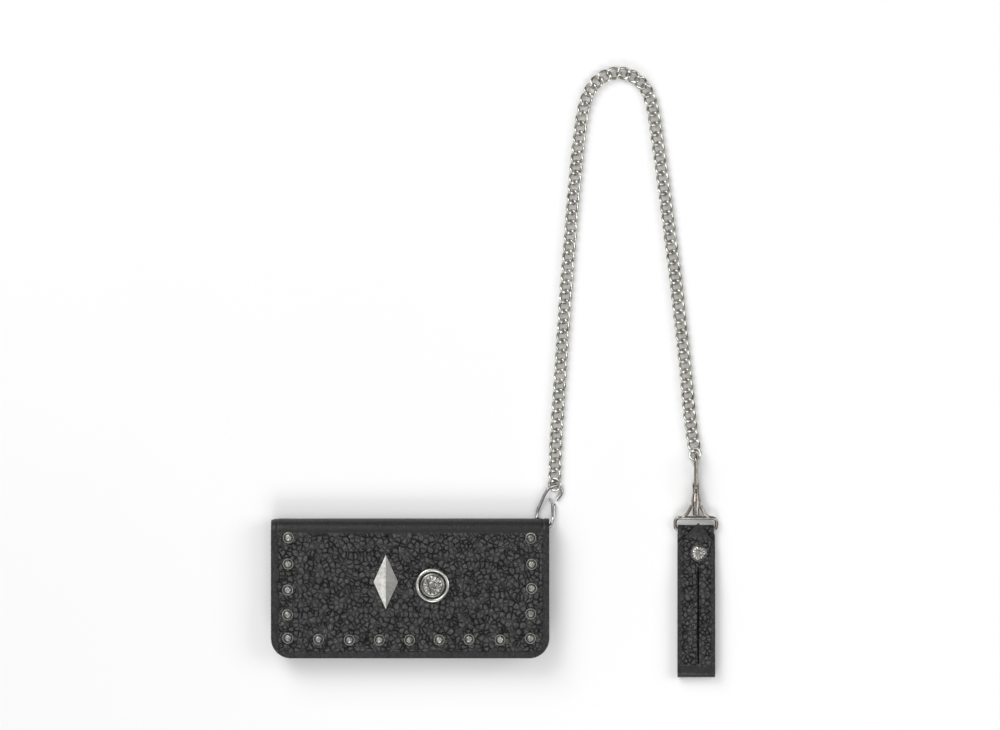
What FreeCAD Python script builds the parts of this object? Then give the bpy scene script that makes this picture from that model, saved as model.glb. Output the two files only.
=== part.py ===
import FreeCAD, Part
import math
import os

# Long wallet with a curb chain and a snap-on belt strap.
# Millimetres, +Z up. The wallet lies closed on its back cover: the origin is the
# middle of that cover's outer face, +X runs to the wire hook's end and +Y to the fold.

V = FreeCAD.Vector
os.makedirs("parts", exist_ok=True)

# ---------------------------------------------------------------- driving dimensions
WALLET_L = 194.0          # length along X
WALLET_H = 97.3           # bottom edge to outer crest of the fold
WALLET_T = 18.0           # closed thickness
COVER_T = 1.6             # cover leather
LINING_T = 0.7
CORNER_R = 14.0           # corners away from the fold
FOLD_R = WALLET_T / 2.0   # outer radius of the fold
FOLD_SPLIT = 0.4          # half angle left open at the crest of the fold, degrees

POCKET_T = 0.9
POCKET_N = 4              # card slots in a column
POCKET_STEP = 11.0        # how far each slot steps down from the one behind it
STACK_TOP_Y = 33.0        # inner layers stop here, clear of the fold's tunnel

STUD_R = 3.9              # rivet rim radius
STUD_DOME_R = 3.1
STUD_XY = [(-84.8, 35.3), (-85.0, 17.1), (-85.3, -1.0), (-85.4, -18.3), (-85.2, -34.6),
           (-63.8, -35.4), (-42.3, -35.8), (-21.4, -35.8), (-0.4, -35.9), (20.3, -35.8),
           (41.0, -35.4), (62.7, -35.8), (83.8, -34.7),
           (84.1, -17.6), (84.6, 0.1), (84.7, 16.9), (84.1, 35.0)]

LOZENGE_XY = (-16.9, 4.6)
LOZENGE_H = 38.0
LOZENGE_W = 17.0
CONCHO_XY = (15.6, 2.2)
CONCHO_R = 12.0

EYELET_X = 88.5
EYELET_ANGLE = -40.0      # position round the fold, below the crest
EYELET_HOLE_R = 2.3

HOOK_WIRE_R = 1.15
RING_WIRE_R = 0.95
RING_R = 4.1              # wire centre radius of the two end rings

LINK_PITCH = 6.96
LINK_WIRE_R = 1.05
LINK_HALF_W = 3.70        # wire centre half width
LINK_TWIST = -90.0        # twist from one end of a link to the other
LINK_PLAY = 0.20
LINK_Z = 2.55             # height of the chain's middle
CHAIN_START = (101.0, 78.6)
CHAIN_HEADING = 88.76
# turn from each link to the next, degrees, anticlockwise positive
BENDS = [-0.52, -0.52, -0.48, -0.41, -0.32, -0.22, -0.12, -0.04, 0.01, 0.04, 0.05, 0.04,
         0.02, -0.02, -0.06, -0.11, -0.15, -0.16, -0.15, -0.12, -0.06, -0.00, 0.04, 0.05,
         0.02, -0.03, -0.10, -0.18, -0.24, -0.29, -0.32, -0.34, -0.37, -0.48, -0.83, -1.68,
         -3.41, -6.36, -10.59, -15.27, -18.30, -18.30, -18.30, -18.30, -18.30, -15.72, -10.77, -5.95,
         -2.53, -0.69, -0.00, 0.08, -0.04, -0.15, -0.20, -0.18, -0.12, -0.04, 0.02, 0.04,
         0.02, -0.03, -0.10, -0.16, -0.19, -0.19, -0.17, -0.13, -0.08, -0.06, -0.07, -0.10,
         -0.17, -0.24, -0.28, -0.25, -0.08, 0.25, 0.72, 1.21, 1.57, 1.69]
SEGMENTS = [(0, 9), (10, 19), (20, 28), (29, 37), (38, 41), (42, 45),
            (46, 54), (55, 63), (64, 72), (73, 82)]

SWIVEL_X = 199.6
SWIVEL_Z = 6.0
HOOK_ROD_R = 1.5
LOOP_WIRE_R = 1.2
LOOP_BAR_Y = 41.2
LOOP_BAR_Z = 2.8
LOOP_TOP_Y = 48.9
LOOP_TOP_Z = 4.3
LOOP_HALF = 14.5          # wire centre half width

STRAP_X = 199.9
STRAP_HALF = 13.1
STRAP_T = 1.4
STRAP_BOTTOM_Y = -62.65
STRAP_FOLD_R = 4.0        # outer radius of the bottom fold
SNAP_X = 201.6
SNAP_Y = 24.2
CAP_R = 6.25

HALF_L = WALLET_L / 2.0
BOTTOM_Y = -WALLET_H / 2.0
CREST_Y = WALLET_H / 2.0
FOLD_Y = CREST_Y - FOLD_R
MID_Z = WALLET_T / 2.0


# ---------------------------------------------------------------- helpers
def save(name, shapes):
    if not isinstance(shapes, (list, tuple)):
        shapes = [shapes]
    solids = []
    for s in shapes:
        solids += s.Solids
    out = solids[0] if len(solids) == 1 else Part.makeCompound(solids)
    bad = [i for i, s in enumerate(solids) if not s.isValid() or s.Volume <= 0]
    out.exportStep("parts/%s.step" % name)
    print("%-24s solids %3d  volume %10.2f %s" % (name, len(solids), sum(s.Volume for s in solids),
                                              "BAD %s" % bad if bad else ""))


def box(x0, x1, y0, y1, z0, z1):
    return Part.makeBox(x1 - x0, y1 - y0, z1 - z0, V(x0, y0, z0))


def cyl(p, d, r, h):
    return Part.makeCylinder(r, h, V(*p), V(*d))


def panel(x0, x1, y0, y1, z0, z1, r_bottom=0.0, r_top=0.0):
    """A flat sheet with rounded corners, extruded up from z0 to z1."""
    pts = []

    def corner(cx, cy, r, a0):
        if r <= 0:
            pts.append(V(cx, cy, z0))
            return
        for i in range(9):
            a = math.radians(a0 + 90.0 * i / 8)
            pts.append(V(cx + r * math.cos(a), cy + r * math.sin(a), z0))

    rb, rt = r_bottom, r_top
    corner(x0 + rb, y0 + rb, rb, 180)
    corner(x1 - rb, y0 + rb, rb, 270)
    corner(x1 - rt, y1 - rt, rt, 0)
    corner(x0 + rt, y1 - rt, rt, 90)
    return Part.Face(Part.makePolygon(pts + [pts[0]])).extrude(V(0, 0, z1 - z0))


def rounded(x0, x1, y0, y1, z0, z1, r):
    """A flat sheet with true round lower corners."""
    a = V(x0, y1, z0)
    b = V(x0, y0 + r, z0)
    c = V(x0 + r, y0, z0)
    d = V(x1 - r, y0, z0)
    e = V(x1, y0 + r, z0)
    f = V(x1, y1, z0)
    k = r * (1 - math.sqrt(0.5))
    edges = [Part.makeLine(a, b), Part.Arc(b, V(x0 + k, y0 + k, z0), c).toShape(), Part.makeLine(c, d),
             Part.Arc(d, V(x1 - k, y0 + k, z0), e).toShape(), Part.makeLine(e, f), Part.makeLine(f, a)]
    return Part.Face(Part.Wire(edges)).extrude(V(0, 0, z1 - z0))


def fold_part(r_out, r_in, a0, a1, x0, x1):
    """Part of the fold's wall between two angles round the fold's centre line."""
    def p(r, a):
        return V(x0, FOLD_Y + r * math.cos(math.radians(a)), MID_Z + r * math.sin(math.radians(a)))
    m = (a0 + a1) / 2.0
    edges = [Part.Arc(p(r_out, a0), p(r_out, m), p(r_out, a1)).toShape(), Part.makeLine(p(r_out, a1), p(r_in, a1)),
             Part.Arc(p(r_in, a1), p(r_in, m), p(r_in, a0)).toShape(), Part.makeLine(p(r_in, a0), p(r_out, a0))]
    return Part.Face(Part.Wire(edges)).extrude(V(x1 - x0, 0, 0))


def biarc(p0, t0, p1, t1):
    v = p1 - p0
    a = 2 * (1 - t0.dot(t1))
    b = 2 * v.dot(t0 + t1)
    c = -v.dot(v)
    d = -c / b if abs(a) < 1e-9 else (-b + math.sqrt(b * b - 4 * a * c)) / (2 * a)
    q0 = p0 + t0 * d
    q1 = p1 - t1 * d
    return (q0 + q1) * 0.5, (q1 - q0).normalize()


def arc_to(p0, t0, p1):
    chord = p1 - p0
    n = t0.cross(chord)
    if n.Length < 1e-5 * chord.Length:
        return Part.makeLine(p0, p1)
    m = n.cross(t0).normalize()
    r = chord.dot(chord) / (2 * chord.dot(m))
    c = p0 + m * r
    mid = ((p0 + p1) * 0.5 - c).normalize()
    return Part.Arc(p0, c + mid * abs(r), p1).toShape()


def arcs_through(points, tangents):
    edges = []
    for i in range(len(points) - 1):
        pm, tm = biarc(points[i], tangents[i], points[i + 1], tangents[i + 1])
        edges += [arc_to(points[i], tangents[i], pm), arc_to(pm, tm, points[i + 1])]
    return edges


def tangents_of(points):
    out = []
    n = len(points)
    for i in range(n):
        a = points[max(i - 1, 0)]
        b = points[min(i + 1, n - 1)]
        if 0 < i < n - 1:
            d0 = points[i] - a
            d1 = b - points[i]
            t = d0 * (1.0 / d0.dot(d0)) + d1 * (1.0 / d1.dot(d1))
        else:
            t = b - a
        out.append(V(t).normalize())
    return out


def rod(points, r, first=None, last=None):
    """A round wire through the points, made of tangent arcs."""
    pts = [V(*p) for p in points]
    tan = tangents_of(pts)
    if first:
        tan[0] = V(*first).normalize()
    if last:
        tan[-1] = V(*last).normalize()
    edges = arcs_through(pts, tan)
    w = Part.Wire(edges)
    prof = Part.Wire([Part.makeCircle(r, pts[0], tan[0])])
    return w.makePipeShell([prof], True, False)


def ribbon(path, t, x0, x1):
    """A strip of thickness t whose middle surface follows (y, z) points."""
    n = len(path)
    up, dn = [], []
    for i in range(n):
        a = path[max(i - 1, 0)]
        b = path[min(i + 1, n - 1)]
        if 0 < i < n - 1:
            p = path[i]
            l0 = math.hypot(p[0] - a[0], p[1] - a[1])
            l1 = math.hypot(b[0] - p[0], b[1] - p[1])
            d0 = ((p[0] - a[0]) / l0, (p[1] - a[1]) / l0)
            d1 = ((b[0] - p[0]) / l1, (b[1] - p[1]) / l1)
            m = (d0[0] + d1[0], d0[1] + d1[1])
            k = math.hypot(*m)
            nx, ny = -m[1] / k, m[0] / k
            s = 1.0 / (nx * -d0[1] + ny * d0[0])
        else:
            l = math.hypot(b[0] - a[0], b[1] - a[1])
            nx, ny = -(b[1] - a[1]) / l, (b[0] - a[0]) / l
            s = 1.0
        up.append(V(x0, path[i][0] + nx * s * t / 2, path[i][1] + ny * s * t / 2))
        dn.append(V(x0, path[i][0] - nx * s * t / 2, path[i][1] - ny * s * t / 2))
    ring = up + dn[::-1]
    return Part.Face(Part.makePolygon(ring + [ring[0]])).extrude(V(x1 - x0, 0, 0))


def arc_pts(cy, cz, r, a0, a1, n):
    return [(cy + r * math.cos(math.radians(a0 + (a1 - a0) * i / n)),
             cz + r * math.sin(math.radians(a0 + (a1 - a0) * i / n))) for i in range(n + 1)]


def smooth(p, q, n):
    """Points of a gentle S from p to q, level at both ends."""
    out = []
    for i in range(1, n):
        s = i / float(n)
        out.append((p[0] + (q[0] - p[0]) * s, p[1] + (q[1] - p[1]) * (3 * s * s - 2 * s ** 3)))
    return out


def turned(profile):
    """A solid of revolution about Z from (r, z) points."""
    pts = [V(r, 0, z) for r, z in profile]
    return Part.Face(Part.makePolygon(pts + [pts[0]])).revolve(V(0, 0, 0), V(0, 0, 1), 360)


def moved(s, x, y, z):
    t = s.copy()
    t.translate(V(x, y, z))
    return t


# ---------------------------------------------------------------- wallet, back half
a_dir = (0, math.cos(math.radians(EYELET_ANGLE)), math.sin(math.radians(EYELET_ANGLE)))
eyelet_bore = cyl((EYELET_X, FOLD_Y, MID_Z), a_dir, 2.95, 20)

back_cover = rounded(-HALF_L, HALF_L, BOTTOM_Y, FOLD_Y, 0, COVER_T, CORNER_R).fuse(
    fold_part(FOLD_R, FOLD_R - COVER_T, -90, -FOLD_SPLIT, -HALF_L, HALF_L)).removeSplitter().cut(eyelet_bore)
save("back_cover", back_cover)

lin_z = COVER_T + LINING_T
back_lining = rounded(-HALF_L + 0.6, HALF_L - 0.6, BOTTOM_Y + 0.6, FOLD_Y, COVER_T, lin_z, CORNER_R - 0.6).fuse(
    fold_part(FOLD_R - COVER_T, FOLD_R - COVER_T - LINING_T, -90, -FOLD_SPLIT, -HALF_L + 0.6, HALF_L - 0.6)
).removeSplitter().cut(eyelet_bore)
save("back_lining", back_lining)

# note compartment panel, then the stepped card slots in two columns with a seam between them
z = lin_z + 0.25
save("back_note_panel", panel(-HALF_L + 3, HALF_L - 3, BOTTOM_Y + 3, STACK_TOP_Y, z, z + 0.9, 11, 2))
z += 0.9
left, right = [], []
for k in range(POCKET_N):
    top = STACK_TOP_Y - 8.0 - POCKET_STEP * k
    z0 = z + POCKET_T * k
    left.append(panel(-HALF_L + 5, -1.2, BOTTOM_Y + 5, top, z0, z0 + POCKET_T, 3, 1.5))
    right.append(panel(1.2, HALF_L - 5, BOTTOM_Y + 5, top, z0, z0 + POCKET_T, 3, 1.5))
save("card_slots_left", left)
save("card_slots_right", right)

# eyelet: tube with a rolled outer flange, and its washer inside the fold
flange = turned([(EYELET_HOLE_R, 8.2), (3.7, 8.2), (3.7, 9.25), (3.35, 9.6), (2.75, 9.65), (EYELET_HOLE_R, 9.3)])
tube = turned([(EYELET_HOLE_R, 5.6), (2.85, 5.6), (2.85, 9.2), (EYELET_HOLE_R, 9.2)])
washer = turned([(2.95, 5.6), (3.9, 5.75), (3.9, 7.2), (2.95, 7.2)])
place = FreeCAD.Placement(V(EYELET_X, FOLD_Y, MID_Z), FreeCAD.Rotation(V(0, 0, 1), V(*a_dir)))
outer_cyl = cyl((EYELET_X - 10, FOLD_Y, MID_Z), (1, 0, 0), FOLD_R, 20)
inner_cyl = cyl((EYELET_X - 10, FOLD_Y, MID_Z), (1, 0, 0), FOLD_R - COVER_T - LINING_T, 20)
flange.Placement = place
tube.Placement = place
washer.Placement = place
save("eyelet", flange.cut(outer_cyl).fuse(tube).removeSplitter())
save("eyelet_washer", washer.common(inner_cyl))

# ---------------------------------------------------------------- wallet, front half
T = WALLET_T
front_cover = rounded(-HALF_L, HALF_L, BOTTOM_Y, FOLD_Y, T - COVER_T, T, CORNER_R).fuse(
    fold_part(FOLD_R, FOLD_R - COVER_T, FOLD_SPLIT, 90, -HALF_L, HALF_L)).removeSplitter()
front_lining = rounded(-HALF_L + 0.6, HALF_L - 0.6, BOTTOM_Y + 0.6, FOLD_Y, T - lin_z, T - COVER_T, CORNER_R - 0.6).fuse(
    fold_part(FOLD_R - COVER_T, FOLD_R - COVER_T - LINING_T, FOLD_SPLIT, 90, -HALF_L + 0.6, HALF_L - 0.6)).removeSplitter()

# rivet studs: a dished rim, a domed cap seated in it and a backing plate in the lining
rims, domes, plates = [], [], []
rim = turned([(0.0, 0.0), (STUD_R, 0.0), (STUD_R, 0.55), (STUD_R - 0.35, 0.95), (STUD_DOME_R + 0.15, 0.95),
              (STUD_DOME_R, 0.7), (STUD_DOME_R, 0.45), (0.0, 0.45)])
dome_pts = [(0.0, 0.45), (STUD_DOME_R, 0.45), (STUD_DOME_R, 0.7)]
for i in range(1, 7):
    a = math.radians(90.0 * i / 6)
    dome_pts.append((STUD_DOME_R * math.cos(a) if i < 6 else 0.0, 0.7 + 1.45 * math.sin(a)))
dome = turned(dome_pts)
post = Part.makeCylinder(1.0, COVER_T, V(0, 0, -COVER_T))
plate = Part.makeCylinder(2.6, LINING_T, V(0, 0, -COVER_T - LINING_T))
holes, recesses = [], []
for x, y in STUD_XY:
    rims.append(moved(rim.fuse(post).removeSplitter(), x, y, T))
    domes.append(moved(dome, x, y, T))
    plates.append(moved(plate, x, y, T))
    holes.append(moved(Part.makeCylinder(1.0, COVER_T, V(0, 0, -COVER_T)), x, y, T))
    recesses.append(moved(plate, x, y, T))


# two ornaments: a faceted lozenge and a ringed round concho
def lozenge(hw, hh, z0, z1, z2):
    o = [V(hw, 0, 0), V(0, hh, 0), V(-hw, 0, 0), V(0, -hh, 0)]
    lo = [V(p.x, p.y, z0) for p in o]
    mi = [V(p.x, p.y, z1) for p in o]
    top = V(0, 0, z2)
    faces = [Part.Face(Part.makePolygon(lo + [lo[0]]))]
    for i in range(4):
        j = (i + 1) % 4
        faces.append(Part.Face(Part.makePolygon([lo[i], lo[j], mi[j], mi[i], lo[i]])))
        faces.append(Part.Face(Part.makePolygon([mi[i], mi[j], top, mi[i]])))
    s = Part.Solid(Part.Shell(faces))
    if s.Volume < 0:
        s.reverse()
    return s


lx, ly = LOZENGE_XY
loz = moved(lozenge(LOZENGE_W / 2, LOZENGE_H / 2, 0, 0.9, 3.0), lx, ly, T)
save("lozenge_plate", loz)
cx, cy = CONCHO_XY
ring = Part.makeTorus(CONCHO_R - 1.3, 1.3, V(0, 0, 0.9)).common(Part.makeCylinder(CONCHO_R + 1, 6, V(0, 0, 0)))
save("concho_ring", moved(ring, cx, cy, T))
boss_pts = [(0.0, 0.0), (CONCHO_R - 3.2, 0.0), (CONCHO_R - 3.2, 0.6)]
for i in range(1, 8):
    a = math.radians(90.0 * i / 7)
    boss_pts.append(((CONCHO_R - 3.2) * math.cos(a) if i < 7 else 0.0, 0.6 + 2.3 * math.sin(a)))
save("concho_boss", moved(turned(boss_pts), cx, cy, T))
pins = []
for px_, py_ in ((lx, ly + 11), (lx, ly - 11), (cx, cy + 10.7), (cx, cy - 10.7), (cx, cy)):
    pins.append(moved(Part.makeCylinder(0.8, COVER_T, V(0, 0, -COVER_T)), px_, py_, T).fuse(
        moved(Part.makeCylinder(2.0, LINING_T, V(0, 0, -COVER_T - LINING_T)), px_, py_, T)).removeSplitter())
save("ornament_pins", pins)
for p in pins:
    holes.append(p)
    recesses.append(p)
front_cover = front_cover.cut(Part.makeCompound(holes))
front_lining = front_lining.cut(Part.makeCompound(recesses))
save("front_cover", front_cover)
save("front_lining", front_lining)
save("stud_rims", rims)
save("stud_domes", domes)
save("stud_backs", plates)

# note divider and zipped coin pocket
z = T - lin_z - 0.2
save("front_note_panel", panel(-HALF_L + 3, HALF_L - 3, BOTTOM_Y + 3, STACK_TOP_Y, z - 0.8, z, 11, 2))
z -= 0.8 + 0.1
save("coin_pocket_back", panel(-HALF_L + 5, HALF_L - 5, BOTTOM_Y + 5, STACK_TOP_Y - 1, z - 0.8, z, 6, 2))
coin_z1 = z - 0.8 - 1.0
coin_z0 = coin_z1 - 0.9
ZIP_Y = 22.0
ZIP_X0, ZIP_X1 = -80.0, 80.0
save("coin_pocket_front", panel(-HALF_L + 5, HALF_L - 5, BOTTOM_Y + 5, ZIP_Y - 5.0, coin_z0, coin_z1, 6, 0.5))
save("coin_pocket_welt", panel(-HALF_L + 5, HALF_L - 5, ZIP_Y + 5.0, STACK_TOP_Y - 1, coin_z0, coin_z1, 0.5, 2))
tape_z = (coin_z0 + coin_z1) / 2
tape_a = box(ZIP_X0 - 4, ZIP_X1 + 4, ZIP_Y - 5.0, ZIP_Y - 1.4, tape_z - 0.25, tape_z + 0.25)
tape_b = box(ZIP_X0 - 4, ZIP_X1 + 4, ZIP_Y + 1.4, ZIP_Y + 5.0, tape_z - 0.25, tape_z + 0.25)
save("zip_tapes", [tape_a, tape_b])
teeth = []
n_teeth = 64
for i in range(n_teeth):
    x = ZIP_X0 + (ZIP_X1 - ZIP_X0) * (i + 0.5) / n_teeth
    for s, off in ((-1, 0.0), (1, 1.25)):
        if x + off + 0.6 > ZIP_X1:
            continue
        y0, y1 = sorted((ZIP_Y + s * 0.55, ZIP_Y + s * 1.4))
        teeth.append(box(x + off - 0.5, x + off + 0.5, y0, y1, tape_z - 0.6, tape_z + 0.6))
save("zip_teeth", teeth)
save("zip_stops", [box(ZIP_X0 - 3.2, ZIP_X0 - 1.2, ZIP_Y - 1.4, ZIP_Y + 1.4, tape_z - 0.6, tape_z + 0.6),
                   box(ZIP_X1 + 1.2, ZIP_X1 + 3.2, ZIP_Y - 1.4, ZIP_Y + 1.4, tape_z - 0.6, tape_z + 0.6)])
# slider: two wings joined by the post that runs between the rows, with a bail for the puller
SL_X = ZIP_X0 + 5.5
wing_lo = panel(SL_X - 4, SL_X + 4, ZIP_Y - 3, ZIP_Y + 3, tape_z - 1.45, tape_z - 0.75, 1.2, 1.2)
wing_hi = panel(SL_X - 4, SL_X + 4, ZIP_Y - 3, ZIP_Y + 3, tape_z + 0.75, tape_z + 1.35, 1.2, 1.2)
spine = box(SL_X - 1.5, SL_X + 3.5, ZIP_Y - 0.35, ZIP_Y + 0.35, tape_z - 0.8, tape_z + 0.8)
bail = rod([(SL_X - 1.8, ZIP_Y, tape_z - 1.2), (SL_X - 1.75, ZIP_Y, tape_z - 2.0), (SL_X - 1.0, ZIP_Y, tape_z - 2.75),
            (SL_X + 1.0, ZIP_Y, tape_z - 2.75), (SL_X + 1.75, ZIP_Y, tape_z - 2.0), (SL_X + 1.8, ZIP_Y, tape_z - 1.2)],
           0.35, (0, 0, -1), (0, 0, 1))
save("zip_slider", wing_lo.fuse([wing_hi, spine, bail]).removeSplitter())
# puller: a tapered tag whose top bar is threaded on the bail
PZ = tape_z - 1.93
tag = panel(SL_X - 1.0, SL_X + 17.0, ZIP_Y - 2.4, ZIP_Y + 2.4, PZ - 0.3, PZ + 0.3, 1.6, 1.6)
tag = tag.cut(panel(SL_X - 0.25, SL_X + 3.2, ZIP_Y - 1.4, ZIP_Y + 1.4, PZ - 1, PZ + 1, 0.6, 0.6))
tag = tag.cut(cyl((SL_X + 13.8, ZIP_Y, PZ - 1), (0, 0, 1), 1.2, 2))
save("zip_puller", tag)

# ---------------------------------------------------------------- wire hook and its spring leg
hook_pts = [(102.1, 61.2, 1.25), (104.2, 63.6, 1.25), (105.9, 67.2, 1.25), (104.5, 70.3, 1.35), (100.9, 71.3, 2.35),
            (97.2, 69.7, 3.75), (94.3, 65.9, 3.55), (91.4, 59.6, 2.4), (89.2, 54.6, 1.6), (88.5, 51.0, 1.5),
            (88.5, 47.2, 2.7), (88.5, 44.2, 5.15), (89.6, 41.7, 5.9), (92.0, 40.7, 5.6), (94.1, 41.1, 5.2)]
save("wire_hook", rod(hook_pts, HOOK_WIRE_R, None, (1, 0.25, 0)))
leg_pts = [(94.75, 41.27, 5.15), (97.0, 42.4, 4.95), (98.9, 45.2, 3.6), (99.9, 49.0, 2.2), (100.1, 53.5, 1.75), (100.1, 57.2, 1.7)]
leg = rod(leg_pts, HOOK_WIRE_R, (1, 0.25, 0), (0, 1, 0))
save("latch_leg", leg)
sleeve = Part.makeCone(1.5, 1.75, 8.0, V(100.1, 49.6, 1.78), V(0, 1, 0))
sleeve = sleeve.cut(leg)
fork = rod([(99.5, 57.2, 1.7), (98.6, 59.6, 1.7), (97.2, 62.6, 1.75)], 0.72)
base = Part.makeCone(1.75, 1.2, 1.1, V(100.1, 57.6, 1.78), V(0, 1, 0)).cut(leg)
save("latch_fork", sleeve.fuse([base, fork.cut(leg)]).removeSplitter())


# ---------------------------------------------------------------- chain
link_a = (LINK_PITCH + 2 * LINK_WIRE_R + LINK_PLAY) / 2.0


def link_point(t):
    c, s = math.cos(t), math.sin(t)
    u = link_a * math.copysign(abs(c) ** 0.9, c)
    v = LINK_HALF_W * math.copysign(abs(s) ** 0.9, s)
    tau = math.radians(LINK_TWIST) / 2 * u / link_a
    return V(u, v * math.cos(tau), v * math.sin(tau))


def make_link():
    n = 8
    ts = [2 * math.pi * i / n + math.pi / n for i in range(n)]
    ps = [link_point(t) for t in ts]
    ds = [(link_point(t + 1e-3) - link_point(t - 1e-3)).normalize() for t in ts]
    halves = []
    for k in (0, 1):
        idx = [(k * 4 + j) % n for j in range(5)]
        w = Part.Wire(arcs_through([ps[i] for i in idx], [ds[i] for i in idx]))
        prof = Part.Wire([Part.makeCircle(LINK_WIRE_R, ps[idx[0]], ds[idx[0]])])
        halves.append(w.makePipeShell([prof], True, False))
    return halves[0].fuse(halves[1]).Solids[0]


def placed(s, x, y, z, heading):
    t = s.copy()
    t.Placement = FreeCAD.Placement(V(x, y, z), FreeCAD.Rotation(V(0, 0, 1), heading))
    return t


link = make_link()
centres = []
x, y = CHAIN_START
h = CHAIN_HEADING
centres.append((x, y, h))
for b in BENDS:
    hn = h + b
    x += LINK_PITCH / 2 * (math.cos(math.radians(h)) + math.cos(math.radians(hn)))
    y += LINK_PITCH / 2 * (math.sin(math.radians(h)) + math.sin(math.radians(hn)))
    h = hn
    centres.append((x, y, h))
print("links", len(centres), "last", centres[-1], "chain length", len(centres) * LINK_PITCH)
for k, (i0, i1) in enumerate(SEGMENTS):
    save("chain_%02d" % (k + 1), [placed(link, c[0], c[1], LINK_Z, c[2]) for c in centres[i0:i1 + 1]])
    if k:
        a, b = centres[i0 - 1], centres[i0]
        print("joint before chain_%02d at %.3f %.3f" % (k + 1,
              a[0] + LINK_PITCH / 2 * math.cos(math.radians(a[2])), a[1] + LINK_PITCH / 2 * math.sin(math.radians(a[2]))))

# end rings, each leaning a little so that its neighbours pass through it
RING_GAP = 0.18


def end_ring(x, y, z, heading, pitch, lean):
    s = Part.makeTorus(RING_R, RING_WIRE_R)
    rot = FreeCAD.Rotation(V(0, 0, 1), heading).multiply(FreeCAD.Rotation(V(0, 1, 0), pitch)).multiply(
        FreeCAD.Rotation(V(1, 0, 0), lean))
    s.Placement = FreeCAD.Placement(V(x, y, z), rot)
    return s


off = link_a - (LINK_WIRE_R + RING_WIRE_R + RING_GAP) + RING_R
hx = centres[0]
r0 = (hx[0] - off * math.cos(math.radians(hx[2])), hx[1] - off * math.sin(math.radians(hx[2])))
save("hook_ring", end_ring(r0[0], r0[1], 2.45, hx[2], 0.0, -20.0))
hx = centres[-1]
half = (LINK_WIRE_R + RING_WIRE_R + RING_GAP) / 2
hr = -88.0
pv = (hx[0] + (link_a - half) * math.cos(math.radians(hx[2])), hx[1] + (link_a - half) * math.sin(math.radians(hx[2])))
r1 = (pv[0] + (RING_R - half) * math.cos(math.radians(hr)), pv[1] + (RING_R - half) * math.sin(math.radians(hr)))
print("hook_ring", r0, "snap_ring", r1, "pivot", pv)
save("snap_ring", end_ring(r1[0], r1[1], 3.7, hr, -17.0, 26.0))

# ---------------------------------------------------------------- swivel snap hook
SX, SZ = SWIVEL_X, SWIVEL_Z
TIP_Y = 93.95
up_z = 2 * SZ - HOOK_ROD_R - 0.1
lo_z = HOOK_ROD_R + 0.1
rr = (up_z - lo_z) / 2
mid = (up_z + lo_z) / 2
cyy = TIP_Y - HOOK_ROD_R - rr
frame_edges = [
    Part.makeLine(V(SX, 72.6, up_z), V(SX, cyy, up_z)),
    Part.Arc(V(SX, cyy, up_z), V(SX, cyy + rr, mid), V(SX, cyy, lo_z)).toShape(),
    Part.makeLine(V(SX, cyy, lo_z), V(SX, cyy - 2.6, lo_z))]
neck = arcs_through([V(SX, 65.5, SZ), V(SX, 72.6, up_z)], [V(0, 0.85, 0.53).normalize(), V(0, 1, 0)])
body = Part.Wire(neck + frame_edges).makePipeShell(
    [Part.Wire([Part.makeCircle(HOOK_ROD_R, V(SX, 65.5, SZ), V(0, 0.85, 0.53))])], True, False)
collar = Part.makeCone(3.6, 2.15, 6.6, V(SX, 60.4, SZ), V(0, 1, 0)).fuse(
    Part.makeCylinder(3.45, 0.9, V(SX, 59.9, SZ), V(0, 1, 0)))
cheeks = []
for s in (-1, 1):
    x0, x1 = sorted((SX + s * 1.3, SX + s * 2.1))
    pts = [V(x0, 64.0, 5.6), V(x0, 64.0, 3.4), V(x0, 69.4, 0.4), V(x0, 72.2, 0.4), V(x0, 73.4, 2.0), V(x0, 72.4, 4.0),
           V(x0, 69.0, 6.2)]
    cheeks.append(Part.Face(Part.makePolygon(pts + [pts[0]])).extrude(V(x1 - x0, 0, 0)))
shank = Part.makeCylinder(1.6, 4.2, V(SX, 56.0, SZ), V(0, 1, 0))
barrel = Part.makeCylinder(2.35, 5.0, V(SX, 51.1, SZ), V(0, 1, 0)).fuse(Part.makeCone(1.9, 2.35, 0.5, V(SX, 50.6, SZ), V(0, 1, 0)))
pin_hole = cyl((SX - 3, 71.2, 2.1), (1, 0, 0), 0.6, 6)
snap_body = collar.fuse([body] + cheeks).cut(pin_hole)
save("snap_hook_body", snap_body.fuse([shank, barrel]).removeSplitter())
save("gate_pin", cyl((SX - 2.35, 71.2, 2.1), (1, 0, 0), 0.6, 4.7))
gate_pts = [V(SX - 1.1, 69.9, 1.6), V(SX - 1.1, 70.6, 0.75), V(SX - 1.1, 72.0, 0.75), V(SX - 1.1, 84.0, 3.45),
            V(SX - 1.1, 85.9, 3.45), V(SX - 1.1, 85.9, 4.9), V(SX - 1.1, 83.5, 5.0), V(SX - 1.1, 72.2, 3.5), V(SX - 1.1, 70.4, 3.4)]
gate = Part.Face(Part.makePolygon(gate_pts + [gate_pts[0]])).extrude(V(2.2, 0, 0)).cut(cyl((SX - 3, 71.2, 2.1), (1, 0, 0), 0.64, 6))
save("snap_gate", gate)

# swivel loop: neck collar on the shank, two splayed arms and the rectangular strap loop
neck_ring = Part.makeCylinder(3.25, 3.2, V(SX, 56.45, SZ), V(0, 1, 0)).cut(
    Part.makeCylinder(1.68, 6.0, V(SX, 55.0, SZ), V(0, 1, 0)))
slope = math.atan2(LOOP_TOP_Z - LOOP_BAR_Z, LOOP_TOP_Y - LOOP_BAR_Y)
H = math.hypot(LOOP_TOP_Z - LOOP_BAR_Z, LOOP_TOP_Y - LOOP_BAR_Y)


def on_loop(u, v):
    return V(SX + u, LOOP_BAR_Y + v * math.cos(slope), LOOP_BAR_Z + v * math.sin(slope))


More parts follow.
